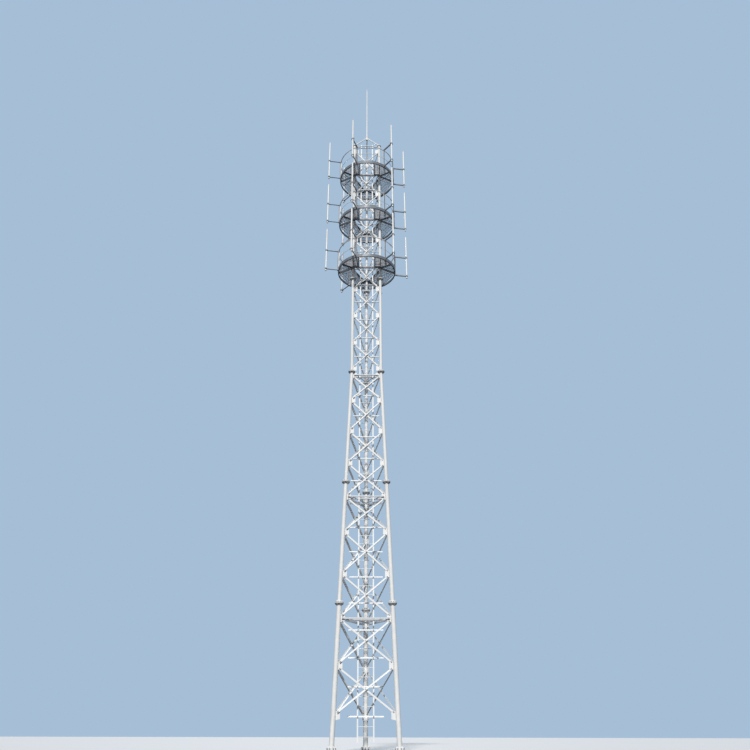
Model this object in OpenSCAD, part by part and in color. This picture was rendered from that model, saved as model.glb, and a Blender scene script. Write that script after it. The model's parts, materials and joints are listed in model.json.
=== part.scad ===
// Three-legged tubular tower: flanged tube legs braced on every face, a climbing ladder,
// three round platforms with antenna poles, and a lightning rod on a pyramid cap.
// Millimetres, +Z up, front towards -Y. The origin is the centre of the rear leg's base
// flange, on its underside.

/* [Legs] */
// Spacing of the leg centre lines at the base
base_w = 2380; // [2200:10:2600]
// Spacing of the leg centre lines above the taper
top_w = 1300; // [1260:10:1400]
// Length of one leg section; three of them taper
section_h = 5000; // [4800:20:5200]
// Outside diameter of the lowest leg tubes
base_leg_d = 180; // [172:1:190]
// Amount by which each section's tube is thinner than the one below
leg_step = 15; // [12:1:16]
// Wall of the leg tubes
leg_wall = 6; // [5:0.5:8]

/* [Flanges] */
// Overhang of a joint flange beyond its tube
flange_rim = 80; // [70:1:85]
// Thickness of one joint flange
flange_t = 22; // [18:1:26]
// Overhang of a base flange beyond its tube
base_rim = 115; // [105:1:125]
// Thickness of a base flange
base_t = 30; // [26:1:36]
// Diameter of the anchor bolt holes
anchor_hole_d = 33; // [27:1:36]
// Number of anchor bolts in each base flange
anchor_count = 8; // [6:1:10]
// Number of stiffening ribs on each side of a joint flange
rib_count = 6; // [4:1:8]

/* [Bracing] */
// Side of the angle bars below the taper's end
low_bar = 63; // [56:1:66]
// Side of the angle bars above the taper
high_bar = 50; // [44:1:54]
// Thickness of the angle bars
bar_t = 6; // [5:0.5:7]
// Thickness of the gusset plates
gusset_t = 10; // [8:1:12]
// Reach of a gusset plate beyond its tube
gusset_reach = 150; // [140:1:160]

/* [Ladder] */
// Distance between the stile centres
ladder_w = 580; // [540:5:600]
// Side of the angle stiles
stile = 50; // [45:1:54]
// Diameter of the rungs
rung_d = 20; // [18:1:24]
// Greatest length of a cross-arm
arm_len = 1320; // [1200:10:1400]

/* [Platforms] */
// Outside radius of a platform
deck_r = 1400; // [1350:10:1450]
// Depth of the floor beams
beam_h = 80; // [70:1:90]
// Height of the hand rail above the floor
rail_h = 1080; // [1000:10:1150]
// Diameter of the hand rail
rail_d = 48; // [42:1:54]
// Width of the front hatch between its joists
hatch_w = 720; // [660:10:780]
// Pitch of the floor bars
floor_pitch = 130; // [115:5:145]

/* [Antenna poles] */
// Radius of the circle on which the poles stand
pole_ring_r = 2000; // [1940:10:2060]
// Outside diameter of a pole
pole_d = 76; // [70:1:89]
// Clear height between the poles of neighbouring platforms
pole_gap = 420; // [300:10:600]
// Turn of the pole circle from the tower's own axes
pole_turn = 9; // [5:0.5:12]

/* [Top] */
// Height of the pyramid cap
cap_h = 950; // [850:10:1050]
// Length of the lightning rod above the cap
rod_len = 3750; // [3400:10:4100]

/* [Part to draw] */
// One node, or all of them

/* [Hidden] */
$fn = 64;
deck_fn = 240;
hoop_fn = 32;
paint = [0.9, 0.91, 0.92];
shade = [0.72, 0.74, 0.76];
sides = 3;
face_turn = 360 / sides;
left_leg_angle = 210;
base_r = base_w / sqrt(3);
top_r = top_w / sqrt(3);
taper_h = 3 * section_h;
leg_lean = atan2(base_r - top_r, taper_h);
face_lean = atan2((base_r - top_r) / 2, taper_h);
// Gusset levels: four long panels, then short ones, parted by the joint at the taper's end
long_panel = 0.33 * section_h;
short_panel = 0.292 * section_h;
first_level = 0.23 * section_h;
long_count = 4;
kink_index = 9;
last_index = 18;
kink_gap = 0.034 * section_h;
gusset_end = 165;
gusset_tip = 110;
leg_top = level(last_index) + 0.082 * section_h;
joints = [0, section_h, 1.966 * section_h, 3 * section_h, 4 * section_h, leg_top];
section_count = len(joints) - 1;
low_levels = [for (i = [0 : kink_index - 1]) level(i), taper_h - kink_gap];
high_levels = [taper_h + kink_gap, for (i = [kink_index + 1 : last_index]) level(i)];
diaphragm_levels = [level(2), level(5), taper_h - kink_gap];
set_back = 70;
pack_side = 60;
anchor_pcd_r = base_leg_d / 2 + 0.58 * base_rim;
rib_t = 10;
rib_h = 90;
base_rib_h = 170;
rib_nose = 20;
rib_inset = 10;
top_rim = 40;
top_t = 14;
// Ladder, measured from the tower's axis
ladder_y = 140 - top_r / 2;
stile_t = 5;
ladder_foot = 300;
ladder_top = leg_top + 200;
arm_pitch = 0.196 * section_h;
rungs_per_arm = 3;
rung_pitch = arm_pitch / rungs_per_arm;
arm_rise = 0.03 * section_h;
arm_clear = 100;
arm_gap = 70;
arm_first = 1;
arm_last = floor((leg_top - arm_rise) / arm_pitch);
tie_first = 16;
tie_step = 3;
saddle = 60;
arm_back = ladder_y - stile / 2;
// Platforms
floor_step = 2;
floor_levels = [for (i = [13 : floor_step : 17]) level(i) - 0.042 * section_h];
ring_t = 8;
ring_ledge = 60;
toe_h = 70;
collar_t = 20;
collar_drop = 20;
edge_out = 75;
beam_w = 45;
beam_t = 6;
floor_t = 30;
floor_bar = 6;
cross_bar_h = 12;
cross_pitch = 400;
bay_gap = 6;
post = 40;
mid_rail_d = 20;
floor_r = deck_r - ring_ledge;
rail_r = deck_r - rail_d / 2;
// Antenna brackets
pole_count = 6;
pole_wall = 4;
pole_len = floor_step * short_panel - pole_gap;
pole_foot = 140;
upright = 50;
bracket_bar = 56;
bracket_t = 5;
clamp_t = 12;
clamp_h = 80;
arm_low = -20;
saddle_h = 70;
// Top
hub_d = 120;
hub_down = 160;
hub_up = 100;
socket_depth = 150;
cap_tube_d = 60;
rod_d = 80;
rod_steps = 3;
rod_thin = 4;
tip_len = 250;
slack = 50;
lap = 2;

function level(i) = first_level + min(i, long_count) * long_panel + max(i - long_count, 0) * short_panel;
function leg_d(i) = base_leg_d - leg_step * i;
function radius_at(z) = z < taper_h ? base_r - (base_r - top_r) * z / taper_h : top_r;
function section_at(z) = len([for (j = joints) if (j <= z) 1]) - 1;
function half_w(z) = radius_at(z) * sqrt(3) / 2;
function inner_half(z, y) = (radius_at(z) - y) / sqrt(3);
function up_face(z) = z < taper_h ? z / cos(face_lean) : z;
function set_back_at(z) = leg_d(section_at(z)) / 2 + set_back;
function is_tied(k) = k >= tie_first && (k - tie_first) % tie_step == 0;
function arm_level(k) = arm_rise + k * arm_pitch;
function frame_gap(z) = min([for (d = diaphragm_levels) abs(z - d)]);

// Moves the tower's axis so that the rear leg stands on the origin
module on_axis() translate([0, -base_r, 0]) children();

// Repeats a piece on the three sides
module each_side() for (i = [0 : sides - 1]) rotate(i * face_turn) children();

// Lays x across the front face and z up it, as the face leans at height z
module on_face(z) {
    if (z < taper_h)
        translate([0, -base_r / 2, 0]) rotate([-face_lean, 0, 0]) children();
    else
        translate([0, -top_r / 2, 0]) children();
}

// An angle bar along x: one flange upright on y = 0, the other level along its lower edge
module angle_bar(length, side, t) {
    translate([0, 0, -side / 2]) cube([length, t, side]);
    translate([0, 0, -side / 2]) cube([length, side, t]);
}

// LEGS

// The leg's centre line as a long rod, in the radial frame
module leg_rod(z, d) {
    if (z < taper_h)
        translate([base_r, 0, 0]) rotate([0, -leg_lean, 0]) translate([0, 0, -slack])
            cylinder(d = d, h = taper_h / cos(leg_lean) + 2 * slack);
    else
        translate([top_r, 0, taper_h - slack]) cylinder(d = d, h = leg_top - taper_h + 2 * slack);
}

// Triangular ribs that stand on a flange around a tube
module ribs(count, reach, height) {
    for (i = [0 : count - 1]) rotate((i + 0.5) * 360 / count) rotate([90, 0, 0])
        linear_extrude(rib_t, center = true)
            polygon([[0, 0], [reach, 0], [reach, rib_nose], [reach / 2, height], [0, height]]);
}

// One gusset plate in the face plane, reaching along +x from the leg's centre line
module gusset(reach) {
    rotate([90, 0, 0]) linear_extrude(gusset_t, center = true)
        polygon([[0, -gusset_end], [reach, -gusset_tip], [reach, gusset_tip], [0, gusset_end]]);
}

// The gussets of one leg at one level: to the right on the front face, to the left on the next
module leg_gussets(z) {
    reach = leg_d(section_at(z)) / 2 + gusset_reach;
    on_face(z) translate([-half_w(z), 0, up_face(z)]) gusset(reach);
    rotate(-face_turn) on_face(z) translate([half_w(z), 0, up_face(z)]) mirror([1, 0, 0]) gusset(reach);
}

module leg_foot(i) {
    rim_r = leg_d(i) / 2 + base_rim;
    translate([base_r, 0, 0]) difference() {
        union() {
            cylinder(r = rim_r, h = base_t);
            translate([0, 0, base_t]) ribs(anchor_count, rim_r - rib_inset, base_rib_h);
        }
        for (k = [0 : anchor_count - 1]) rotate(k * 360 / anchor_count)
            translate([anchor_pcd_r, 0, -slack]) cylinder(d = anchor_hole_d, h = base_t + 2 * slack);
    }
}

module lower_flange(i) {
    rim_r = leg_d(i - 1) / 2 + flange_rim;
    translate([radius_at(joints[i]), 0, joints[i]]) {
        cylinder(r = rim_r, h = flange_t);
        translate([0, 0, flange_t]) ribs(rib_count, rim_r - rib_inset, rib_h);
    }
}

module upper_flange(i) {
    rim_r = leg_d(i) / 2 + flange_rim;
    translate([radius_at(joints[i + 1]), 0, joints[i + 1]]) mirror([0, 0, 1]) {
        cylinder(r = rim_r, h = flange_t);
        translate([0, 0, flange_t]) ribs(rib_count, rim_r - rib_inset, rib_h);
    }
}

module leg(i) {
    levels = [for (z = concat(low_levels, high_levels)) if (z > joints[i] && z < joints[i + 1]) z];
    reach = 2 * base_w;
    bore_foot = i == 0 ? base_t : joints[i] - slack;
    difference() {
        union() {
            rotate(left_leg_angle) {
                intersection() {
                    leg_rod(joints[i], leg_d(i));
                    translate([0, -reach / 2, joints[i]]) cube([reach, reach, joints[i + 1] - joints[i]]);
                }
                if (i == 0)
                    leg_foot(i);
                else
                    lower_flange(i);
                if (i < section_count - 1)
                    upper_flange(i);
                else
                    translate([top_r, 0, leg_top - top_t]) cylinder(d = leg_d(i) + 2 * top_rim, h = top_t);
            }
            for (z = levels) leg_gussets(z);
        }
        rotate(left_leg_angle) intersection() {
            leg_rod(joints[i], leg_d(i) - 2 * leg_wall);
            translate([0, -reach / 2, bore_foot]) cube([reach, reach, leg_top]);
        }
    }
}

module leg_section(i) {
    color(paint) on_axis() each_side() leg(i);
}

// BRACING

// One bar of a panel, from the left leg at the lower level to the right leg at the upper one
module brace(z0, z1, side) {
    run = half_w(z0) + half_w(z1);
    rise = up_face(z1) - up_face(z0);
    translate([-half_w(z0), 0, up_face(z0)]) rotate([0, -atan2(rise, run), 0])
        translate([set_back_at(z0), 0, 0])
            angle_bar(norm([run, rise]) - set_back_at(z0) - set_back_at(z1), side, bar_t);
}

// Two crossing bars on either side of the gussets, joined by a packing plate
module panel(z0, z1, side) {
    split = half_w(z0) / (half_w(z0) + half_w(z1));
    v = up_face(z0) + split * (up_face(z1) - up_face(z0));
    translate([0, -gusset_t / 2, 0]) mirror([0, 1, 0]) brace(z0, z1, side);
    translate([0, gusset_t / 2, 0]) mirror([1, 0, 0]) brace(z0, z1, side);
    translate([-pack_side / 2, -gusset_t / 2 - lap, v - pack_side / 2])
        cube([pack_side, gusset_t + 2 * lap, pack_side]);
}

module bracing(turn, levels, side) {
    color(paint) on_axis() rotate(turn * face_turn)
        for (k = [0 : len(levels) - 2]) on_face(levels[k]) panel(levels[k], levels[k + 1], side);
}

// A level frame: a bar on each face, a triangle between their middles and a rest for the ladder
module diaphragm(k) {
    z = diaphragm_levels[k];
    start = leg_d(section_at(z)) / 2 + set_back / 2;
    r = radius_at(z);
    bar_seat = gusset_t / 2 + bar_t;
    color(shade) on_axis() {
        each_side() on_face(z) translate([-half_w(z) + start, -gusset_t / 2, up_face(z)])
            mirror([0, 1, 0]) angle_bar(2 * (half_w(z) - start), low_bar, bar_t);
        intersection() {
            union() {
                each_side() rotate(face_turn / 2) translate([-r, r / 4, z]) mirror([0, 1, 0])
                    angle_bar(2 * r, high_bar, bar_t);
                translate([-r, ladder_y + stile / 2, z]) angle_bar(2 * r, high_bar, bar_t);
            }
            translate([0, 0, z - low_bar]) rotate(90) cylinder(r = r + 2 * bar_seat, h = 2 * low_bar, $fn = 3);
        }
    }
}

// LADDER

module stile_bar(z0, z1) {
    translate([ladder_w / 2 - stile / 2, ladder_y - stile / 2, z0]) cube([stile, stile_t, z1 - z0]);
    translate([ladder_w / 2 + stile / 2 - stile_t, ladder_y - stile / 2, z0]) cube([stile_t, stile, z1 - z0]);
}

module ladder(z0, z1) {
    inside = ladder_w + stile - stile_t;
    color(paint) on_axis() {
        stile_bar(z0, z1);
        mirror([1, 0, 0]) stile_bar(z0, z1);
        for (k = [ceil((z0 + rung_d - arm_rise) / rung_pitch) : floor((z1 - rung_d - arm_rise) / rung_pitch)])
            translate([-inside / 2, ladder_y, arm_rise + k * rung_pitch]) rotate([0, 90, 0])
                cylinder(d = rung_d, h = inside);
    }
}

module cross_arm(z, half) {
    translate([-half, arm_back, z]) mirror([0, 1, 0]) angle_bar(2 * half, stile, stile_t);
}

// The plain arms, left out where a level frame already rests the ladder
module ladder_arms() {
    color(paint) on_axis() for (k = [arm_first : arm_last]) {
        z = arm_level(k);
        if (!is_tied(k) && frame_gap(z) > arm_clear)
            cross_arm(z, min(arm_len / 2, inner_half(z, arm_back) - arm_gap));
    }
}

// The arms that reach the front legs, each with two blocks cut to the tubes
module ladder_tied_arms() {
    color(paint) on_axis() for (k = [tie_first : tie_step : arm_last]) {
        z = arm_level(k);
        difference() {
            union() {
                cross_arm(z, half_w(z));
                for (m = [0, 1]) mirror([m, 0, 0])
                    translate([-half_w(z) - saddle / 2, -top_r / 2, z - stile / 2])
                        cube([saddle, arm_back + top_r / 2, stile]);
            }
            for (m = [0, 1]) mirror([m, 0, 0])
                rotate(left_leg_angle) leg_rod(z, leg_d(section_at(z)));
        }
    }
}

// PLATFORMS

// A channel along x with its web upright, its top flush with z = 0
module floor_beam(length) {
    translate([0, -beam_w / 2, -beam_h]) {
        cube([length, beam_t, beam_h]);
        cube([length, beam_w, beam_t]);
        translate([0, 0, beam_h - beam_t]) cube([length, beam_w, beam_t]);
    }
}

module deck_ring() {
    rotate_extrude($fn = deck_fn) polygon([
        [deck_r - ring_ledge, -beam_h], [deck_r, -beam_h], [deck_r, toe_h], [deck_r - ring_t, toe_h],
        [deck_r - ring_t, -beam_h + ring_t], [deck_r - ring_ledge, -beam_h + ring_t]]);
}

// A collar around one leg, which the beams are welded to
module leg_collar(tube_d) {
    h = beam_h + collar_drop;
    translate([0, 0, -h]) difference() {
        cylinder(d = tube_d + 2 * collar_t, h = h - lap);
        translate([0, 0, -slack]) cylinder(d = tube_d, h = h + 2 * slack);
    }
}

module platform_frame(n) {
    tube_d = leg_d(section_at(floor_levels[n]));
    beam_start = tube_d / 2 + collar_t / 2;
    beam_end = deck_r - ring_t / 2;
    bay_depth = beam_end - top_r / 2;
    color(shade) on_axis() translate([0, 0, floor_levels[n]]) {
        deck_ring();
        each_side() rotate(left_leg_angle) translate([top_r, 0, 0]) leg_collar(tube_d);
        intersection() {
            union() {
                each_side() {
                    rotate(left_leg_angle) translate([top_r + beam_start, 0, 0]) floor_beam(bay_depth);
                    for (m = [0, 1]) mirror([m, 0, 0])
                        translate([-top_w / 2, -top_r / 2 - beam_start, 0]) rotate(-90) floor_beam(bay_depth);
                    translate([-top_w / 2, -top_r / 2 - edge_out - beam_w / 2, 0]) floor_beam(top_w);
                }
                for (m = [0, 1]) mirror([m, 0, 0])
                    translate([-hatch_w / 2 - beam_w / 2, -top_r / 2 - edge_out - beam_w, 0])
                        rotate(-90) floor_beam(bay_depth);
            }
            translate([0, 0, -beam_h - slack]) cylinder(r = beam_end, h = beam_h + 2 * slack, $fn = deck_fn);
        }
    }
}

// The floor bars of one bay, level with the front face
module floor_bay(hatch) {
    near = top_r / 2 + edge_out;
    far = 2 * deck_r;
    difference() {
        intersection() {
            union() {
                for (y = [near : floor_pitch : deck_r]) translate([-deck_r, -y - floor_bar, 0])
                    cube([2 * deck_r, floor_bar, floor_t]);
                for (x = [hatch_w / 2 + beam_w : cross_pitch : deck_r]) for (m = [0, 1]) mirror([m, 0, 0])
                    translate([x, -deck_r, 0]) cube([floor_bar, deck_r - near, cross_bar_h]);
            }
            cylinder(r = floor_r, h = floor_t, $fn = deck_fn);
            linear_extrude(floor_t) polygon([[0, -bay_gap],
                far * [cos(left_leg_angle), sin(left_leg_angle)] - [0, bay_gap], [0, -far],
                far * [-cos(left_leg_angle), sin(left_leg_angle)] - [0, bay_gap]]);
        }
        if (hatch)
            translate([-hatch_w / 2, -far, -slack]) cube([hatch_w, far, floor_t + 2 * slack]);
    }
}

module platform_floor(n) {
    color(shade) on_axis() translate([0, 0, floor_levels[n]]) {
        floor_bay(true);
        for (i = [1, 2]) rotate(i * face_turn) floor_bay(false);
    }
}

module hoop(r, d) rotate_extrude($fn = deck_fn) translate([r, 0]) circle(d = d, $fn = hoop_fn);

module platform_rail(n) {
    color(paint) on_axis() translate([0, 0, floor_levels[n]]) {
        translate([0, 0, rail_h]) hoop(rail_r, rail_d);
        translate([0, 0, rail_h / 2]) hoop(rail_r - ring_t, mid_rail_d);
        intersection() {
            for (k = [0 : pole_count - 1]) rotate(pole_turn + k * 360 / pole_count)
                translate([deck_r - ring_t - post, -post / 2, ring_t - beam_h])
                    cube([2 * post, post, rail_h + beam_h - ring_t]);
            translate([0, 0, -beam_h]) cylinder(r = deck_r - ring_t, h = rail_h + beam_h, $fn = deck_fn);
        }
    }
}

// ANTENNA POLES

// One bracket on +x: an upright on the ring and rail, and two arms that clamp a pole
module bracket() {
    reach = pole_ring_r - deck_r;
    upright_h = rail_h + beam_h + saddle_h / 2;
    difference() {
        union() {
            translate([deck_r - ring_t, -upright / 2, -beam_h]) {
                cube([upright, bracket_t, upright_h]);
                cube([bracket_t + 2 * ring_t, upright, upright_h]);
            }
            translate([rail_r, -upright / 2, rail_h - saddle_h / 2])
                cube([rail_d / 2 + bracket_t, upright, saddle_h]);
            for (z = [arm_low, rail_h]) translate([deck_r, -upright / 2, z]) {
                angle_bar(reach, bracket_bar, bracket_t);
                translate([reach, upright / 2, -clamp_h / 2]) cylinder(d = pole_d + 2 * clamp_t, h = clamp_h);
            }
        }
        translate([pole_ring_r, 0, -beam_h - slack]) cylinder(d = pole_d, h = rail_h + 2 * beam_h + 2 * slack);
        translate([0, 0, -beam_h - slack])
            cylinder(r = deck_r, h = beam_h + slack + rail_h - saddle_h / 2, $fn = deck_fn);
        translate([0, 0, rail_h]) hoop(rail_r, rail_d);
    }
}

module platform_brackets(n) {
    color(shade) on_axis() translate([0, 0, floor_levels[n]])
        for (k = [0 : pole_count - 1]) rotate(pole_turn + k * 360 / pole_count) bracket();
}

module platform_poles(n) {
    color(paint) on_axis() translate([0, 0, floor_levels[n] - pole_foot])
        for (k = [0 : pole_count - 1]) rotate(pole_turn + k * 360 / pole_count) translate([pole_ring_r, 0, 0])
            difference() {
                cylinder(d = pole_d, h = pole_len);
                translate([0, 0, -slack]) cylinder(d = pole_d - 2 * pole_wall, h = pole_len + 2 * slack);
            }
}

// TOP

module top_cap() {
    foot_d = leg_d(section_count - 1) + 2 * top_rim;
    strut_foot = cap_tube_d / 2;
    strut_rise = cap_h - strut_foot;
    color(paint) on_axis() translate([0, 0, leg_top]) difference() {
        union() {
            each_side() rotate(left_leg_angle) translate([top_r, 0, 0]) {
                cylinder(d = foot_d, h = top_t);
                translate([0, 0, strut_foot]) rotate([0, -atan2(top_r, strut_rise), 0])
                    cylinder(d = cap_tube_d, h = norm([top_r, strut_rise]));
            }
            translate([0, 0, cap_h - hub_down]) cylinder(d = hub_d, h = hub_down + hub_up);
        }
        translate([0, 0, cap_h + hub_up - socket_depth]) cylinder(d = rod_d, h = socket_depth + slack);
    }
}

module lightning_rod() {
    step_h = (rod_len - tip_len) / rod_steps;
    steps = [for (k = [0 : rod_steps - 1]) for (e = [0, 1]) [rod_d / 2 - k * rod_thin, (k + e) * step_h]];
    color(shade) on_axis() translate([0, 0, leg_top + cap_h + hub_up]) rotate_extrude()
        polygon(concat([[0, -socket_depth], [rod_d / 2, -socket_depth]],
            [for (i = [1 : len(steps) - 1]) steps[i]], [[0, rod_len]]));
}

leg_section(0);  // leg_section_1
leg_section(1);  // leg_section_2
leg_section(2);  // leg_section_3
leg_section(3);  // leg_section_4
leg_section(4);  // leg_section_5
bracing(0, low_levels, low_bar);  // front_bracing_lower
bracing(1, low_levels, low_bar);  // right_bracing_lower
bracing(2, low_levels, low_bar);  // left_bracing_lower
bracing(0, high_levels, high_bar);  // front_bracing_upper
bracing(1, high_levels, high_bar);  // right_bracing_upper
bracing(2, high_levels, high_bar);  // left_bracing_upper
diaphragm(0);  // diaphragm_1
diaphragm(1);  // diaphragm_2
diaphragm(2);  // diaphragm_3
ladder(ladder_foot, 2 * section_h);  // ladder_lower
ladder(2 * section_h, 4 * section_h);  // ladder_middle
ladder(4 * section_h, ladder_top);  // ladder_upper
ladder_arms();
ladder_tied_arms();
platform_frame(0);  // platform_1_frame
platform_floor(0);  // platform_1_floor
platform_rail(0);  // platform_1_rail
platform_brackets(0);  // platform_1_brackets
platform_poles(0);  // platform_1_poles
platform_frame(1);  // platform_2_frame
platform_floor(1);  // platform_2_floor
platform_rail(1);  // platform_2_rail
platform_brackets(1);  // platform_2_brackets
platform_poles(1);  // platform_2_poles
platform_frame(2);  // platform_3_frame
platform_floor(2);  // platform_3_floor
platform_rail(2);  // platform_3_rail
platform_brackets(2);  // platform_3_brackets
platform_poles(2);  // platform_3_poles
top_cap();
lightning_rod();
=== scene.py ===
import json
import math

import bmesh
import bpy
from mathutils import Matrix, Vector


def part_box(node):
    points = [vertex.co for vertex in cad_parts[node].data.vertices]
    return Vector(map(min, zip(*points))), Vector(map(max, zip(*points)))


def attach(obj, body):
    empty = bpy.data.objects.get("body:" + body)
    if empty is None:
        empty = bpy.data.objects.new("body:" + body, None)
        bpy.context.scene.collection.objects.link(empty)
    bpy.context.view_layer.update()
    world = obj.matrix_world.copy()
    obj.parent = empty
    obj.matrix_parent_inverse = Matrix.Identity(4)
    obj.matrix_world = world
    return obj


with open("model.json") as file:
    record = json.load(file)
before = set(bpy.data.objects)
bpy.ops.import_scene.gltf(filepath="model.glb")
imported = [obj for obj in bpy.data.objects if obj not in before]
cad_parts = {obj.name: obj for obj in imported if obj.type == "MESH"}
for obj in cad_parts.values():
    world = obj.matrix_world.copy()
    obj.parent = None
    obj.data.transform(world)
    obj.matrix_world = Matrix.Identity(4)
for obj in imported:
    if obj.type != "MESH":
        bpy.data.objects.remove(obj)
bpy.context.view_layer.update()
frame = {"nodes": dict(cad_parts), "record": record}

# Leg tubes: three lines of steel tube in five lengths, hot-dip galvanised and painted white,
# with flanges, ribs and gusset plates welded on. They lean inwards up to the third joint
# and stand upright above it. The flanges' undersides are coloured near-black: painted shade, with some grime.
feet = {
    mount["name"].split("_")[0]: Vector(mount["pos_m"])
    for mount in frame["record"]["mounts"]
    if mount["name"].endswith("_base_face")
}
leg_angles = {"rear": 90, "left": 210, "right": 330}
tower_axis = sum(feet.values(), Vector()) / len(feet)
foot_radius = (feet["rear"] - tower_axis).length
straight_spacing = 1.3
straight_radius = straight_spacing / math.sqrt(3)
joint_heights = [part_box(f"leg_section_{i}")[1].z for i in range(1, 5)]
section_height = joint_heights[0]
taper_height = joint_heights[2]
foot_tube_diameter = 0.180
tube_step = 0.015


def leg_radius_at(z):
    """Distance of a leg's centre line from the tower's axis."""
    return foot_radius + (straight_radius - foot_radius) * min(z / taper_height, 1)


def tube_diameter(section):
    return foot_tube_diameter - tube_step * section


def section_at(z):
    return sum(1 for joint in joint_heights if joint <= z)


def polar(angle, radius, z):
    """A point at an angle in degrees round the tower's axis."""
    turn = math.radians(angle)
    return tower_axis + Vector((radius * math.cos(turn), radius * math.sin(turn), z))


def leg_point(angle, z):
    return polar(angle, leg_radius_at(z), z)


def named_node(tree, kind, **inputs):
    """Adds a shader node and sets its inputs by name, with spaces for underscores."""
    node = tree.nodes.new(kind)
    for name, value in inputs.items():
        node.inputs[name.replace("_", " ")].default_value = value
    return node


def mixed_colour(tree, factor, below, above):
    """A colour mix of two sockets by a third."""
    node = tree.nodes.new("ShaderNodeMix")
    node.data_type = "RGBA"
    tree.links.new(factor, node.inputs["Factor"])
    tree.links.new(below, node.inputs[6])
    tree.links.new(above, node.inputs[7])
    return node.outputs[2]


def group_tree(name, inputs, outputs):
    """An empty shader node group with its sockets, and its two end nodes."""
    tree = bpy.data.node_groups.new(name, "ShaderNodeTree")
    for socket, kind, value in inputs:
        made = tree.interface.new_socket(socket, in_out="INPUT", socket_type=kind)
        made.default_value = value
    for socket, kind in outputs:
        tree.interface.new_socket(socket, in_out="OUTPUT", socket_type=kind)
    return tree, tree.nodes.new("NodeGroupInput"), tree.nodes.new("NodeGroupOutput")


def stretched_noise(tree, stretch, scale, detail):
    """Noise over the object's own metres, stretched along each axis."""
    place = tree.nodes.new("ShaderNodeTexCoord")
    mapping = named_node(tree, "ShaderNodeMapping", Scale=stretch)
    noise = named_node(tree, "ShaderNodeTexNoise", Scale=scale, Detail=detail, Roughness=0.62)
    tree.links.new(place.outputs["Object"], mapping.inputs["Vector"])
    tree.links.new(mapping.outputs["Vector"], noise.inputs["Vector"])
    return noise.outputs["Fac"]


def ramp(tree, socket, low, high):
    """A smooth mask that is 0 under low and 1 over high."""
    node = named_node(tree, "ShaderNodeMapRange", From_Min=low, From_Max=high)
    node.interpolation_type = "SMOOTHSTEP"
    tree.links.new(socket, node.inputs["Value"])
    return node.outputs["Result"]


def product(tree, first, second):
    node = tree.nodes.new("ShaderNodeMath")
    node.operation = "MULTIPLY"
    tree.links.new(first, node.inputs[0])
    tree.links.new(second, node.inputs[1])
    return node.outputs["Value"]


weather, weather_in, weather_out = group_tree(
    "rain_weathering",
    [
        ("Coat", "NodeSocketColor", (0.8, 0.8, 0.8, 1)),
        ("Grime", "NodeSocketColor", (0.3, 0.3, 0.3, 1)),
        ("Chalk", "NodeSocketColor", (0.9, 0.9, 0.9, 1)),
        ("Streaks", "NodeSocketFloat", 0.4),
        ("Patches", "NodeSocketFloat", 0.4),
        ("Gloss", "NodeSocketFloat", 0.4),
    ],
    [("Colour", "NodeSocketColor"), ("Roughness", "NodeSocketFloat"), ("Height", "NodeSocketFloat")],
)
run_down = ramp(weather, stretched_noise(weather, (1, 1, 0.045), 21, 5), 0.5, 0.78)
broken = ramp(weather, stretched_noise(weather, (1, 1, 0.35), 1.6, 3), 0.36, 0.66)
chalked = ramp(weather, stretched_noise(weather, (1, 1, 1), 5.5, 4), 0.42, 0.7)
orange_peel = stretched_noise(weather, (1, 1, 1), 140, 2)
chalky = mixed_colour(
    weather,
    product(weather, chalked, weather_in.outputs["Patches"]),
    weather_in.outputs["Coat"],
    weather_in.outputs["Chalk"],
)
streaked = product(weather, product(weather, run_down, broken), weather_in.outputs["Streaks"])
weather.links.new(
    mixed_colour(weather, streaked, chalky, weather_in.outputs["Grime"]), weather_out.inputs["Colour"]
)
dulled = weather.nodes.new("ShaderNodeMath")
dulled.operation = "MULTIPLY_ADD"
dulled.inputs[1].default_value = 0.22
weather.links.new(chalked, dulled.inputs[0])
weather.links.new(weather_in.outputs["Gloss"], dulled.inputs[2])
weather.links.new(dulled.outputs["Value"], weather_out.inputs["Roughness"])
weather.links.new(orange_peel, weather_out.inputs["Height"])


def painted_steel(name, coat, grime, streaks, patches, gloss, grain=0.0006):
    """A paint finish on steel, weathered by the shared group."""
    material = bpy.data.materials.new(name)
    material.use_nodes = True
    tree = material.node_tree
    shader = tree.nodes["Principled BSDF"]
    group = tree.nodes.new("ShaderNodeGroup")
    group.node_tree = weather
    group.inputs["Coat"].default_value = (*coat, 1)
    group.inputs["Grime"].default_value = (*grime, 1)
    group.inputs["Chalk"].default_value = (*[min(1.16 * part + 0.02, 0.93) for part in coat], 1)
    group.inputs["Streaks"].default_value = streaks
    group.inputs["Patches"].default_value = patches
    group.inputs["Gloss"].default_value = gloss
    bump = named_node(tree, "ShaderNodeBump", Strength=0.25, Distance=grain)
    tree.links.new(group.outputs["Height"], bump.inputs["Height"])
    tree.links.new(bump.outputs["Normal"], shader.inputs["Normal"])
    tree.links.new(group.outputs["Colour"], shader.inputs["Base Color"])
    tree.links.new(group.outputs["Roughness"], shader.inputs["Roughness"])
    return material


def finish_nodes(material, *nodes):
    """Gives CAD nodes a finish in place of the one that they came with."""
    for name in nodes:
        mesh = frame["nodes"][name].data
        mesh.materials.clear()
        mesh.materials.append(material)


leg_paint = painted_steel("leg_paint", (0.79, 0.81, 0.83), (0.33, 0.29, 0.24), 0.5, 0.5, 0.52)
finish_nodes(leg_paint, *[f"leg_section_{i}" for i in range(1, 6)])

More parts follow.
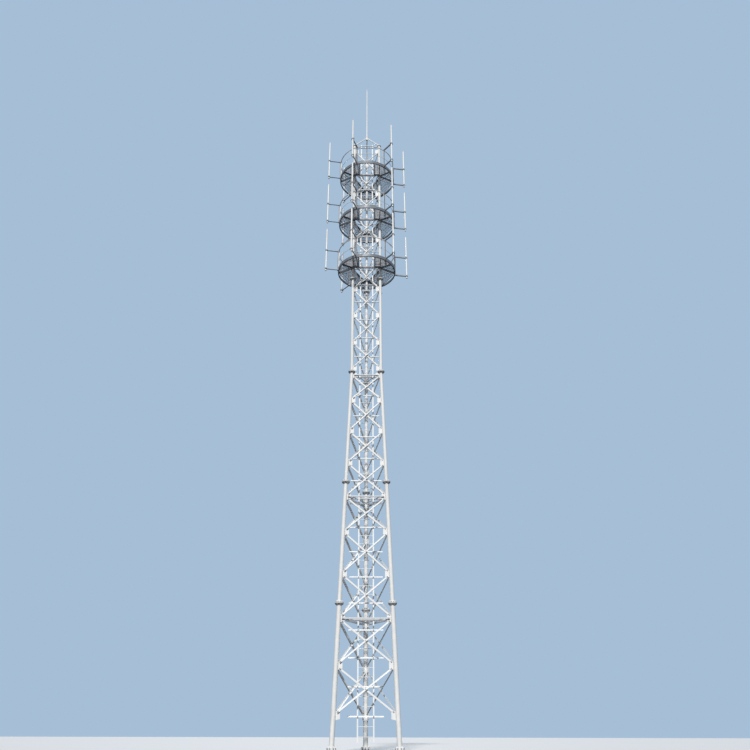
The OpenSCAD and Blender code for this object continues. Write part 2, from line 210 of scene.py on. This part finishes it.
stain_length = 1.1
stain_colour = (0.40, 0.27, 0.17, 1)
stain_fade = (0.03, -0.02)
flange_thickness = 0.022
underside_shade_and_grime_colour = (0.075, 0.08, 0.088, 1)
underside_shade_and_grime_zone = (-0.005, -0.003, 0.003, 0.006)
leg_tree = leg_paint.node_tree
leg_shader = leg_tree.nodes["Principled BSDF"]
leg_place = leg_tree.nodes.new("ShaderNodeTexCoord")
leg_height = leg_tree.nodes.new("ShaderNodeSeparateXYZ")
leg_tree.links.new(leg_place.outputs["Object"], leg_height.inputs["Vector"])
stained = leg_shader.inputs["Base Color"].links[0].from_socket
stain_runs = ramp(leg_tree, stretched_noise(leg_tree, (1, 1, 0.03), 34, 3), 0.52, 0.8)
for height in joint_heights:
    below = ramp(leg_tree, leg_height.outputs["Z"], height - stain_length, height)
    above = ramp(leg_tree, leg_height.outputs["Z"], *[height + fade for fade in stain_fade])
    stain = leg_tree.nodes.new("ShaderNodeRGB")
    stain.outputs["Color"].default_value = stain_colour
    mask = product(leg_tree, product(leg_tree, below, above), stain_runs)
    stained = mixed_colour(leg_tree, mask, stained, stain.outputs["Color"])
    # Each flange's underside is coloured near-black: painted shade, with some grime.
    fade_in, shade_and_grime_from, shade_and_grime_to, fade_out = [height - flange_thickness + edge for edge in underside_shade_and_grime_zone]
    over = ramp(leg_tree, leg_height.outputs["Z"], fade_in, shade_and_grime_from)
    under = ramp(leg_tree, leg_height.outputs["Z"], fade_out, shade_and_grime_to)
    underside_shade_and_grime = leg_tree.nodes.new("ShaderNodeRGB")
    underside_shade_and_grime.outputs["Color"].default_value = underside_shade_and_grime_colour
    stained = mixed_colour(leg_tree, product(leg_tree, over, under), stained, underside_shade_and_grime.outputs["Color"])
leg_tree.links.new(stained, leg_shader.inputs["Base Color"])

# Flange bolts: each leg joint is drawn up by a ring of galvanised hexagon bolts, two between
# neighbouring ribs, with a washer and a nut under the lower flange.
flange_rim = 0.080
ribs_per_flange = 6
bolt_offset = 14
bolt_ring_share = 0.62
flange_bolt_flats = 0.036
sharp_angle = 35


def frame_towards(place, direction):
    """A matrix at a place whose z axis points in a direction."""
    turn = Vector(direction).to_track_quat("Z", "Y").to_matrix().to_4x4()
    return Matrix.Translation(place) @ turn


def add_prism(mesh, place, radius, height, sides):
    """A closed prism or drum that stands on the z = 0 plane of a frame."""
    middle = place @ Matrix.Translation((0, 0, height / 2))
    bmesh.ops.create_cone(
        mesh, cap_ends=True, segments=sides, radius1=radius, radius2=radius, depth=height, matrix=middle
    )


def add_hexagon(mesh, place, flats):
    """A washer under a chamfered hexagon head, standing on the z = 0 plane of a frame."""
    corner = flats / math.sqrt(3)
    crown = 0.86 * corner
    washer = 0.1 * flats
    washer_radius = 0.96 * flats
    head = 0.62 * flats
    chamfer = 0.1 * flats
    add_prism(mesh, place, washer_radius, washer, 16)
    add_prism(mesh, place @ Matrix.Translation((0, 0, washer)), corner, head - chamfer, 6)
    top = place @ Matrix.Translation((0, 0, washer + head - chamfer / 2))
    bmesh.ops.create_cone(
        mesh, cap_ends=True, segments=6, radius1=corner, radius2=crown, depth=chamfer, matrix=top
    )


def add_bolt(mesh, place, direction, grip, flats):
    """A bolt whose head stands at a place, and whose nut and thread come out past the grip."""
    outwards = Vector(direction).normalized()
    far = place - outwards * grip
    thread_radius = 0.3 * flats
    thread_length = 1.05 * flats
    add_hexagon(mesh, frame_towards(place, outwards), flats)
    add_hexagon(mesh, frame_towards(far, -outwards), flats)
    add_prism(mesh, frame_towards(far, -outwards), thread_radius, thread_length, 10)


def make_piece(name, mesh, material):
    """Turns a finished bmesh into a piece of the tower that rides on its one body."""
    data = bpy.data.meshes.new(name)
    mesh.to_mesh(data)
    mesh.free()
    data.shade_smooth()
    data.set_sharp_from_angle(angle=math.radians(sharp_angle))
    data.materials.append(material)
    piece = bpy.data.objects.new(name, data)
    bpy.context.scene.collection.objects.link(piece)
    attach(piece, "root")
    return piece


bolt_zinc = painted_steel("bolt_zinc", (0.34, 0.36, 0.38), (0.26, 0.15, 0.08), 0.75, 0.35, 0.5, 0.0003)
bolt_zinc.node_tree.nodes["Principled BSDF"].inputs["Metallic"].default_value = 0.6

for joint, height in enumerate(joint_heights):
    bolts = bmesh.new()
    ring = tube_diameter(joint) / 2 + bolt_ring_share * flange_rim
    for leg_angle in leg_angles.values():
        centre = leg_point(leg_angle, height)
        for gap in range(ribs_per_flange):
            for side in (-1, 1):
                angle = math.radians(leg_angle + gap * 360 / ribs_per_flange + side * bolt_offset)
                spot = centre + ring * Vector((math.cos(angle), math.sin(angle), 0))
                head = spot + Vector((0, 0, flange_thickness))
                add_bolt(bolts, head, (0, 0, 1), 2 * flange_thickness, flange_bolt_flats)
    make_piece(f"flange_bolts_{joint + 1}", bolts, bolt_zinc)

# Joint seams: a thin bead of dark sealant keeps rain out of every leg joint. It is squeezed
# out all round as the bolts draw the two flanges together.
sealant = painted_steel("joint_sealant", (0.10, 0.10, 0.11), (0.25, 0.22, 0.19), 0.6, 0.5, 0.6)
seam_radius = 0.003
seam_points = 48


def add_rod(mesh, path, radius, sides, closed=False):
    """A round rod bent along a path of points, open ended or closed on itself."""
    count = len(path)
    rings = []
    for i, point in enumerate(path):
        ahead = path[(i + 1) % count] if closed or i + 1 < count else point
        behind = path[i - 1] if closed or i > 0 else point
        turn = (ahead - behind).to_track_quat("Z", "Y").to_matrix()
        circle = [2 * math.pi * k / sides for k in range(sides)]
        rings.append(
            [
                mesh.verts.new(point + turn @ Vector((radius * math.cos(a), radius * math.sin(a), 0)))
                for a in circle
            ]
        )
    for i in range(count if closed else count - 1):
        lower, upper = rings[i], rings[(i + 1) % count]
        shift = 0
        if closed and i + 1 == count:
            shift = min(range(sides), key=lambda k: (upper[k].co - lower[0].co).length)
        for k in range(sides):
            first, second = upper[(k + 1 + shift) % sides], upper[(k + shift) % sides]
            mesh.faces.new((lower[k], lower[(k + 1) % sides], first, second))
    if not closed:
        mesh.faces.new(reversed(rings[0]))
        mesh.faces.new(rings[-1])


def ring_path(centre, radius, points):
    turns = [2 * math.pi * i / points for i in range(points)]
    return [centre + Vector((radius * math.cos(a), radius * math.sin(a), 0)) for a in turns]


seams = bmesh.new()
for joint, height in enumerate(joint_heights):
    for leg_angle in leg_angles.values():
        rim = tube_diameter(joint) / 2 + flange_rim
        add_rod(seams, ring_path(leg_point(leg_angle, height), rim, seam_points), seam_radius, 6, closed=True)
make_piece("joint_seams", seams, sealant)

# Weld beads: a fillet of weld runs round every tube where it meets a flange, laid by hand and
# painted over with the leg.
base_flange_thickness = 0.030
bead_radius = 0.007
bead_points = 40

beads = bmesh.new()
for leg_angle in leg_angles.values():
    welds = [(base_flange_thickness, 0)]
    for joint, height in enumerate(joint_heights):
        welds += [(height - flange_thickness, joint), (height + flange_thickness, joint + 1)]
    for height, section in welds:
        bead_ring = ring_path(leg_point(leg_angle, height), tube_diameter(section) / 2, bead_points)
        add_rod(beads, bead_ring, bead_radius, 8, closed=True)
make_piece("flange_weld_beads", beads, leg_paint)

# Anchor bolts: threaded rods cast into the foundation come up through each base flange
# and take a washer, a nut and a lock nut.
anchor_pattern = next(m["dims"] for m in frame["record"]["mounts"] if m["name"] == "rear_anchor_bolts")
anchor_ring = anchor_pattern["pcd_mm"] / 2000
anchor_rod_radius = 0.9 * anchor_pattern["hole_r_mm"] / 1000
anchor_flats = 0.046
anchor_nut_pitch = 0.72 * anchor_flats
anchor_rod_height = 0.14

anchors = bmesh.new()
for name, leg_angle in leg_angles.items():
    for hole in range(anchor_pattern["count"]):
        angle = math.radians(leg_angle + hole * 360 / anchor_pattern["count"])
        spot = feet[name] + anchor_ring * Vector((math.cos(angle), math.sin(angle), 0))
        add_prism(anchors, Matrix.Translation(spot), anchor_rod_radius, anchor_rod_height, 16)
        for nut in (0, 1):
            lift = base_flange_thickness + nut * anchor_nut_pitch
            add_hexagon(anchors, Matrix.Translation(spot + Vector((0, 0, lift))), anchor_flats)
make_piece("anchor_bolts", anchors, bolt_zinc)

# Gusset welds: fillets run down both sides of every gusset plate where it meets its tube.
# They are laid by hand in one pass and painted over with the leg.
long_panel = 0.33 * section_height
short_panel = 0.292 * section_height
first_level = 0.23 * section_height
kink_gap = 0.034 * section_height
long_panels = 4
kink_level = 9
last_level = 18


def gusset_level(index):
    long_part = min(index, long_panels) * long_panel
    return first_level + long_part + max(index - long_panels, 0) * short_panel


lower_levels = [gusset_level(i) for i in range(kink_level)] + [taper_height - kink_gap]
upper_levels = [taper_height + kink_gap] + [gusset_level(i) for i in range(kink_level + 1, last_level + 1)]
face_lean = math.atan2((foot_radius - straight_radius) / 2, taper_height)
gusset_half = 0.005
gusset_weld_half = 0.14
gusset_bead_radius = 0.005


def half_width(z):
    return leg_radius_at(z) * math.sqrt(3) / 2


def face_normal(turn, z):
    lean = face_lean if z < taper_height else 0
    return Matrix.Rotation(math.radians(turn), 3, "Z") @ Vector((0, -math.cos(lean), math.sin(lean)))


def face_point(turn, across, z):
    """A point in a face's middle plane."""
    local = Vector((across, -leg_radius_at(z) / 2, z))
    return tower_axis + Matrix.Rotation(math.radians(turn), 3, "Z") @ local


gusset_beads = bmesh.new()
for height in lower_levels + upper_levels:
    tube_radius = tube_diameter(section_at(height)) / 2
    for turn in (0, 120, 240):
        outwards = face_normal(turn, height)
        for hand in (-1, 1):
            for face in (-1, 1):
                bead = []
                for z in (height - gusset_weld_half, height + gusset_weld_half):
                    edge = face_point(turn, hand * (half_width(z) - tube_radius), z)
                    bead.append(edge + face * gusset_half * outwards)
                add_rod(gusset_beads, bead, gusset_bead_radius, 8)
make_piece("gusset_weld_beads", gusset_beads, leg_paint)

# Cross bracing: pairs of painted angle bars on every face, one on each side of the gusset
# plates, bolted at their ends and through a packing plate where they cross.
brace_paint = painted_steel("brace_paint", (0.80, 0.82, 0.84), (0.36, 0.33, 0.29), 0.4, 0.45, 0.52)
finish_nodes(
    brace_paint,
    *[f"{side}_bracing_{part}" for side in ("front", "left", "right") for part in ("lower", "upper")],
)
bar_thickness = 0.006
bar_set_back = 0.070
end_bolt_places = (0.020, 0.056)
brace_bolt_flats = 0.024

for part, levels in (("lower", lower_levels), ("upper", upper_levels)):
    for side, turn in (("front", 0), ("right", 120), ("left", 240)):
        bolts = bmesh.new()
        for low, high in zip(levels, levels[1:]):
            outwards = face_normal(turn, low)
            for hand in (-1, 1):
                start = face_point(turn, hand * half_width(low), low)
                stop = face_point(turn, -hand * half_width(high), high)
                along = (stop - start).normalized()
                facing = -hand * outwards
                for end, inwards, z in ((start, along, low), (stop, -along, high)):
                    lead = tube_diameter(section_at(z)) / 2 + bar_set_back
                    for place in end_bolt_places:
                        spot = end + inwards * (lead + place) + facing * (gusset_half + bar_thickness)
                        add_bolt(bolts, spot, facing, 2 * gusset_half + bar_thickness, brace_bolt_flats)
            split = half_width(low) / (half_width(low) + half_width(high))
            middle = face_point(turn, 0, low + split * (high - low))
            grip = 2 * (gusset_half + bar_thickness)
            add_bolt(bolts, middle + outwards * grip / 2, outwards, grip, brace_bolt_flats)
        make_piece(f"{side}_brace_bolts_{part}", bolts, bolt_zinc)

# Level frames: a bar on each face, a triangle between their middles and a rest for the ladder,
# all of galvanised angle, dull with a faint crystal pattern in the zinc.
spangle, spangle_in, spangle_out = group_tree(
    "zinc_spangle",
    [
        ("Bright", "NodeSocketColor", (0.7, 0.7, 0.7, 1)),
        ("Dull", "NodeSocketColor", (0.5, 0.5, 0.5, 1)),
        ("Size", "NodeSocketFloat", 45),
    ],
    [("Colour", "NodeSocketColor")],
)
spangle_place = spangle.nodes.new("ShaderNodeTexCoord")
crystal = spangle.nodes.new("ShaderNodeTexVoronoi")
spangle.links.new(spangle_place.outputs["Object"], crystal.inputs["Vector"])
spangle.links.new(spangle_in.outputs["Size"], crystal.inputs["Scale"])
crystal_grey = spangle.nodes.new("ShaderNodeSeparateColor")
spangle.links.new(crystal.outputs["Color"], crystal_grey.inputs["Color"])
mottled = mixed_colour(
    spangle, crystal_grey.outputs["Red"], spangle_in.outputs["Dull"], spangle_in.outputs["Bright"]
)
spangle.links.new(mottled, spangle_out.inputs["Colour"])


def galvanised_steel(name, bright, dull, streaks, gloss, size=45):
    """A zinc coat: crystals under the same weathering as the paint."""
    material = painted_steel(name, bright, (0.30, 0.27, 0.24), streaks, 0.3, gloss, 0.0004)
    tree = material.node_tree
    group = next(node for node in tree.nodes if node.type == "GROUP")
    zinc = tree.nodes.new("ShaderNodeGroup")
    zinc.node_tree = spangle
    zinc.inputs["Bright"].default_value = (*bright, 1)
    zinc.inputs["Dull"].default_value = (*dull, 1)
    zinc.inputs["Size"].default_value = size
    tree.links.new(zinc.outputs["Colour"], group.inputs["Coat"])
    tree.nodes["Principled BSDF"].inputs["Metallic"].default_value = 0.25
    return material


level_frame_zinc = galvanised_steel("level_frame_zinc", (0.62, 0.64, 0.66), (0.50, 0.52, 0.55), 0.4, 0.6)
finish_nodes(level_frame_zinc, "diaphragm_1", "diaphragm_2", "diaphragm_3")
level_frame_set_back = 0.035
level_frame_bolt_places = (0.022, 0.062)
frame_heights = (lower_levels[2], lower_levels[5], lower_levels[-1])

level_bolts = bmesh.new()
for height in frame_heights:
    for turn in (0, 120, 240):
        outwards = face_normal(turn, height)
        for hand in (-1, 1):
            for place in level_frame_bolt_places:
                lead = tube_diameter(section_at(height)) / 2 + level_frame_set_back + place
                spot = face_point(turn, hand * (half_width(height) - lead), height)
                spot += outwards * (gusset_half + bar_thickness)
                add_bolt(level_bolts, spot, outwards, 2 * gusset_half + bar_thickness, brace_bolt_flats)
make_piece("level_frame_bolts", level_bolts, bolt_zinc)

# Climbing ladder: angle stiles and round rungs in three lengths, welded up and painted white.
# Angle cross-arms are bolted over the stiles, and some of the upper ones are tied to the legs.
# The ladder's coat and grime are set lighter than the legs' paint: painted light on the stiles and arms.
ladder_paint = painted_steel("ladder_paint", (0.84, 0.86, 0.88), (0.48, 0.46, 0.43), 0.35, 0.4, 0.52)
finish_nodes(
    ladder_paint, "ladder_lower", "ladder_middle", "ladder_upper", "ladder_arms", "ladder_tied_arms"
)
stile_spacing = 0.58
stile_thickness = 0.005
arm_pitch = 0.196 * section_height
arm_rise = 0.03 * section_height
arm_clear = 0.1
first_tied_arm = 16
tied_arm_step = 3
arm_count = round((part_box("ladder_tied_arms")[1].z - arm_rise) / arm_pitch)
stile_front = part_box("ladder_lower")[0].y
arm_bolt_lift = 0.006
tie_bolt_offsets = (-0.016, 0.014)
ear_bolt_flats = 0.019

arm_bolts = bmesh.new()
for arm in range(1, arm_count + 1):
    arm_height = arm_rise + arm * arm_pitch
    tied = arm >= first_tied_arm and (arm - first_tied_arm) % tied_arm_step == 0
    if min(abs(arm_height - height) for height in frame_heights) < arm_clear:
        continue
    bolt_height = arm_height + arm_bolt_lift
    for side in (-1, 1):
        spot = Vector((side * stile_spacing / 2, stile_front - stile_thickness, bolt_height))
        add_bolt(arm_bolts, spot, (0, -1, 0), 2 * stile_thickness, brace_bolt_flats)
        for offset in tie_bolt_offsets if tied else ():
            spot = Vector((side * (straight_spacing / 2 + offset), stile_front, bolt_height))
            add_hexagon(arm_bolts, frame_towards(spot, (0, 1, 0)), ear_bolt_flats)
make_piece("ladder_arm_bolts", arm_bolts, bolt_zinc)

# Platforms: a rolled ring with a toe board, channel beams from collars on the legs, and floor
# bars with twisted cross rods pressed in. All galvanised, with the zinc coloured dark grey all over as
# painted shade.
# The ring's and floor's zinc colours are dark grey as painted shade.
ring_zinc_with_painted_shade = galvanised_steel("ring_zinc_with_painted_shade", (0.20, 0.22, 0.25), (0.15, 0.165, 0.19), 0.6, 0.5)
floor_zinc_with_painted_shade = galvanised_steel("floor_zinc_with_painted_shade", (0.14, 0.155, 0.18), (0.10, 0.11, 0.13), 0.5, 0.5, 60)
finish_nodes(ring_zinc_with_painted_shade, *[f"platform_{n}_frame" for n in (1, 2, 3)])
finish_nodes(floor_zinc_with_painted_shade, *[f"platform_{n}_floor" for n in (1, 2, 3)])
bay_start = straight_radius / 2 + 0.075
hatch_half = 0.36
floor_radius = 1.338
rod_pitch = 0.1
rods_each_side = 12
rod_side = 0.007
bay_gap = 0.012
main_bar_pitch = 0.130
fine_bars_between = 2
fine_bar_size = (0.004, 0.025)

for n in (1, 2, 3):
    rods = bmesh.new()
    floor_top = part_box(f"platform_{n}_floor")[1].z
    for bay in range(3):
        for step in range(-rods_each_side, rods_each_side + 1):
            across = (step + 0.5) * rod_pitch
            near = max(bay_start, abs(across) / math.sqrt(3) + bay_gap)
            reach = floor_radius**2 - across**2
            far = math.sqrt(reach) if reach > 0 else 0
            if far - near < rod_pitch or (bay == 0 and abs(across) < hatch_half):
                continue
            turned = Matrix.Rotation(math.radians(120 * bay), 4, "Z")
            centre = Vector((across, -(near + far) / 2, floor_top - rod_side / 2))
            place = Matrix.Translation(tower_axis) @ turned @ Matrix.Translation(centre)
            shape = Matrix.Diagonal((rod_side, far - near, rod_side, 1))
            bmesh.ops.create_cube(rods, size=1, matrix=place @ shape)
        fine_pitch = main_bar_pitch / (fine_bars_between + 1)
        for step in range(1, int((floor_radius - bay_start) / fine_pitch)):
            depth = bay_start + step * fine_pitch
            if step % (fine_bars_between + 1) == 0:
                continue
            reach = min((depth - bay_gap) * math.sqrt(3), math.sqrt(floor_radius**2 - depth**2))
            inner = hatch_half if bay == 0 else 0
            for hand in (-1, 1):
                if reach - inner < rod_pitch:
                    continue
                turned = Matrix.Rotation(math.radians(120 * bay), 4, "Z")
                centre = Vector((hand * (inner + reach) / 2, -depth, floor_top - fine_bar_size[1] / 2))
                place = Matrix.Translation(tower_axis) @ turned @ Matrix.Translation(centre)
                shape = Matrix.Diagonal((reach - inner, *fine_bar_size, 1))
                bmesh.ops.create_cube(rods, size=1, matrix=place @ shape)
    make_piece(f"platform_{n}_grating", rods, floor_zinc_with_painted_shade)

# Hand rails: a steel tube bent to a hoop on six square posts, with a thin middle rail below it.
# They are welded up, galvanised and painted white.
rail_paint = painted_steel("rail_paint", (0.76, 0.78, 0.80), (0.36, 0.33, 0.30), 0.45, 0.5, 0.34)
finish_nodes(rail_paint, *[f"platform_{n}_rail" for n in (1, 2, 3)])

# Antenna brackets and poles: galvanised arms with split collars that grip painted tubes.
# Each collar is closed by two bolts through its ears, and each tube has a pressed cap.
# The brackets' zinc is coloured dark grey as painted shade.
bracket_zinc_with_painted_shade = galvanised_steel("bracket_zinc_with_painted_shade", (0.27, 0.29, 0.32), (0.21, 0.23, 0.26), 0.5, 0.5)
pole_paint = painted_steel("pole_paint", (0.82, 0.84, 0.86), (0.42, 0.40, 0.37), 0.4, 0.4, 0.32)
finish_nodes(bracket_zinc_with_painted_shade, *[f"platform_{n}_brackets" for n in (1, 2, 3)])
finish_nodes(pole_paint, *[f"platform_{n}_poles" for n in (1, 2, 3)])
pole_count = 6
pole_turn = 9
pole_circle = 2.0
pole_radius = 0.038
collar_wall = 0.012
ear_size = (0.030, 0.034, 0.060)
ear_lap = 0.004
ear_bolt_lifts = (-0.016, 0.016)
bracket_arm_heights = (-0.020, 1.08)
ring_bolt_heights = (-0.022, 0.032)
rail_bolt_drop = 0.004
upright_bolt_shift = 0.006
cap_radius = pole_radius + 0.002
cap_crown = 0.7 * pole_radius
cap_height = 0.022
cap_skirt = 0.6 * cap_height
cap_dome = 0.4 * cap_height
platform_radius = 1.4
upright_proud = 0.013
ring_plate = 0.008
rail_diameter = 0.048

for n in (1, 2, 3):
    ears = bmesh.new()
    caps = bmesh.new()
    floor_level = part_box(f"platform_{n}_floor")[0].z
    arm_levels = [floor_level + height for height in bracket_arm_heights]
    pole_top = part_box(f"platform_{n}_poles")[1].z
    for k in range(pole_count):
        angle = pole_turn + k * 360 / pole_count
        turned = Matrix.Rotation(math.radians(angle), 4, "Z")
        tangent = turned.to_3x3() @ Vector((0, 1, 0))
        outwards = turned.to_3x3() @ Vector((1, 0, 0))
        for level in arm_levels:
            for side in (-1, 1):
                spot = polar(angle, pole_circle, level)
                spot += tangent * side * (pole_radius + collar_wall + ear_size[1] / 2 - ear_lap)
                shape = Matrix.Diagonal((*ear_size, 1))
                bmesh.ops.create_cube(ears, size=1, matrix=Matrix.Translation(spot) @ turned @ shape)
                for lift in ear_bolt_lifts:
                    head = spot + outwards * ear_size[0] / 2 + Vector((0, 0, lift))
                    add_bolt(ears, head, outwards, ear_size[0], ear_bolt_flats)
        fixings = [(floor_level + height, ring_plate) for height in ring_bolt_heights]
        fixings += [(arm_levels[1] - rail_bolt_drop, rail_diameter)]
        for level, depth in fixings:
            head = polar(angle, platform_radius + upright_proud, level) + tangent * upright_bolt_shift
            add_bolt(ears, head, outwards, upright_proud + depth, ear_bolt_flats)
        top = Matrix.Translation(polar(angle, pole_circle, pole_top - cap_skirt))
        add_prism(caps, top, cap_radius, cap_skirt, 32)
        dome = top @ Matrix.Translation((0, 0, cap_skirt + cap_dome / 2))
        bmesh.ops.create_cone(
            caps,
            cap_ends=True,
            segments=32,
            radius1=cap_radius,
            radius2=cap_crown,
            depth=cap_dome,
            matrix=dome,
        )
    make_piece(f"platform_{n}_collar_ears", ears, bolt_zinc)
    make_piece(f"platform_{n}_pole_caps", caps, pole_paint)

# Top: a pyramid of three painted tubes is bolted to the leg tops. Its hub holds a stepped,
# galvanised lightning rod, which set bolts keep in place.
cap_paint = painted_steel("cap_paint", (0.78, 0.80, 0.82), (0.36, 0.33, 0.29), 0.4, 0.4, 0.36)
rod_zinc = galvanised_steel("rod_zinc", (0.68, 0.70, 0.73), (0.58, 0.60, 0.63), 0.25, 0.42, 80)
finish_nodes(cap_paint, "top_cap")
finish_nodes(rod_zinc, "lightning_rod")
cap_plate = 0.014
cap_bolt_ring = 0.080
cap_bolts_per_leg = 6
hub_radius = 0.060
set_bolt_drop = 0.045

cap_bolts = bmesh.new()
plate_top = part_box("top_cap")[0].z + cap_plate
hub_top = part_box("top_cap")[1].z
for leg_angle in leg_angles.values():
    for k in range(cap_bolts_per_leg):
        angle = math.radians(leg_angle + (k + 0.5) * 360 / cap_bolts_per_leg)
        spot = polar(leg_angle, straight_radius, plate_top)
        spot += cap_bolt_ring * Vector((math.cos(angle), math.sin(angle), 0))
        add_bolt(cap_bolts, spot, (0, 0, 1), 2 * cap_plate, ear_bolt_flats)
    between = leg_angle + 60
    outwards = polar(between, 1, 0) - tower_axis
    spot = polar(between, hub_radius, hub_top - set_bolt_drop)
    add_hexagon(cap_bolts, frame_towards(spot, outwards), brace_bolt_flats)
make_piece("top_cap_bolts", cap_bolts, bolt_zinc)

# Setting: a plain pale floor and backdrop, a broad lamp from the front, a weak one from
# behind for the far sides, and a soft fill.
floor_half = 300
floor_data = bpy.data.meshes.new("ground_floor")
corners = [(-floor_half, -floor_half, 0), (floor_half, -floor_half, 0)]
corners += [(floor_half, floor_half, 0), (-floor_half, floor_half, 0)]
floor_data.from_pydata(corners, [], [(0, 1, 2, 3)])
floor = bpy.data.objects.new("ground_floor", floor_data)
bpy.context.scene.collection.objects.link(floor)
floor_paint = bpy.data.materials.new("floor_paint")
floor_paint.use_nodes = True
floor_tree = floor_paint.node_tree
floor_shader = floor_tree.nodes["Principled BSDF"]
floor_shader.inputs["Roughness"].default_value = 0.9
floor_seen = floor_tree.nodes.new("ShaderNodeLightPath")
floor_colour = floor_tree.nodes.new("ShaderNodeMix")
floor_colour.data_type = "RGBA"
floor_colour.inputs[6].default_value = (0.10, 0.105, 0.11, 1)
floor_colour.inputs[7].default_value = (0.62, 0.64, 0.66, 1)
floor_tree.links.new(floor_seen.outputs["Is Camera Ray"], floor_colour.inputs["Factor"])
floor_tree.links.new(floor_colour.outputs[2], floor_shader.inputs["Base Color"])
floor_data.materials.append(floor_paint)

world = bpy.data.worlds.new("studio")
world.use_nodes = True
bpy.context.scene.world = world
sky = world.node_tree
backdrop = sky.nodes["Background"]
fill_colour = (0.80, 0.87, 0.96, 1)
backdrop_colour = (0.38, 0.52, 0.68, 1)
fill_strength = 0.22
fill = named_node(sky, "ShaderNodeBackground", Color=fill_colour, Strength=fill_strength)
backdrop.inputs["Color"].default_value = backdrop_colour
backdrop.inputs["Strength"].default_value = 1
seen = sky.nodes.new("ShaderNodeLightPath")
choice = sky.nodes.new("ShaderNodeMixShader")
rays = seen.outputs["Is Camera Ray"]
for kind in ("Is Glossy Ray", "Is Transmission Ray"):
    either = sky.nodes.new("ShaderNodeMath")
    either.operation = "MAXIMUM"
    sky.links.new(rays, either.inputs[0])
    sky.links.new(seen.outputs[kind], either.inputs[1])
    rays = either.outputs["Value"]
sky.links.new(rays, choice.inputs["Fac"])
sky.links.new(fill.outputs["Background"], choice.inputs[1])
sky.links.new(backdrop.outputs["Background"], choice.inputs[2])
sky.links.new(choice.outputs["Shader"], sky.nodes["World Output"].inputs["Surface"])

for name, strength, spread, tint, heading in (
    ("key_lamp", 3.25, 5, (1.0, 0.97, 0.92), (0.09, 0.86, -0.64)),
    ("back_lamp", 1.7, 25, (0.90, 0.95, 1.0), (0.05, -0.85, -0.45)),
):
    lamp = bpy.data.lights.new(name, "SUN")
    lamp.energy = strength
    lamp.angle = math.radians(spread)
    lamp.color = tint
    lamp_object = bpy.data.objects.new(name, lamp)
    lamp_object.rotation_euler = Vector(heading).to_track_quat("-Z", "Y").to_euler()
    bpy.context.scene.collection.objects.link(lamp_object)

# Camera: it stands low and well back from the front face, as in the photo, and is tilted up
# to the platforms, with the slight roll that the photo has.
camera_distance = 28.31
camera_height = 0.51
camera_pitch = 27.15
camera_roll = 0.13
focal_pixels = 704
frame_pixels = 750
axis_column = 366.4
camera_data = bpy.data.cameras.new("camera")
camera_data.sensor_width = 36
camera_data.lens = camera_data.sensor_width * focal_pixels / frame_pixels
camera_data.shift_x = (frame_pixels / 2 - axis_column) / frame_pixels
camera_data.clip_end = 1000
camera = bpy.data.objects.new("camera", camera_data)
camera.location = tower_axis + Vector((0, -camera_distance, camera_height))
pitched = Matrix.Rotation(math.radians(90 + camera_pitch), 3, "X")
camera.rotation_euler = (pitched @ Matrix.Rotation(math.radians(camera_roll), 3, "Z")).to_euler()
bpy.context.scene.collection.objects.link(camera)
bpy.context.scene.camera = camera
bpy.context.scene.view_settings.view_transform = "Standard"
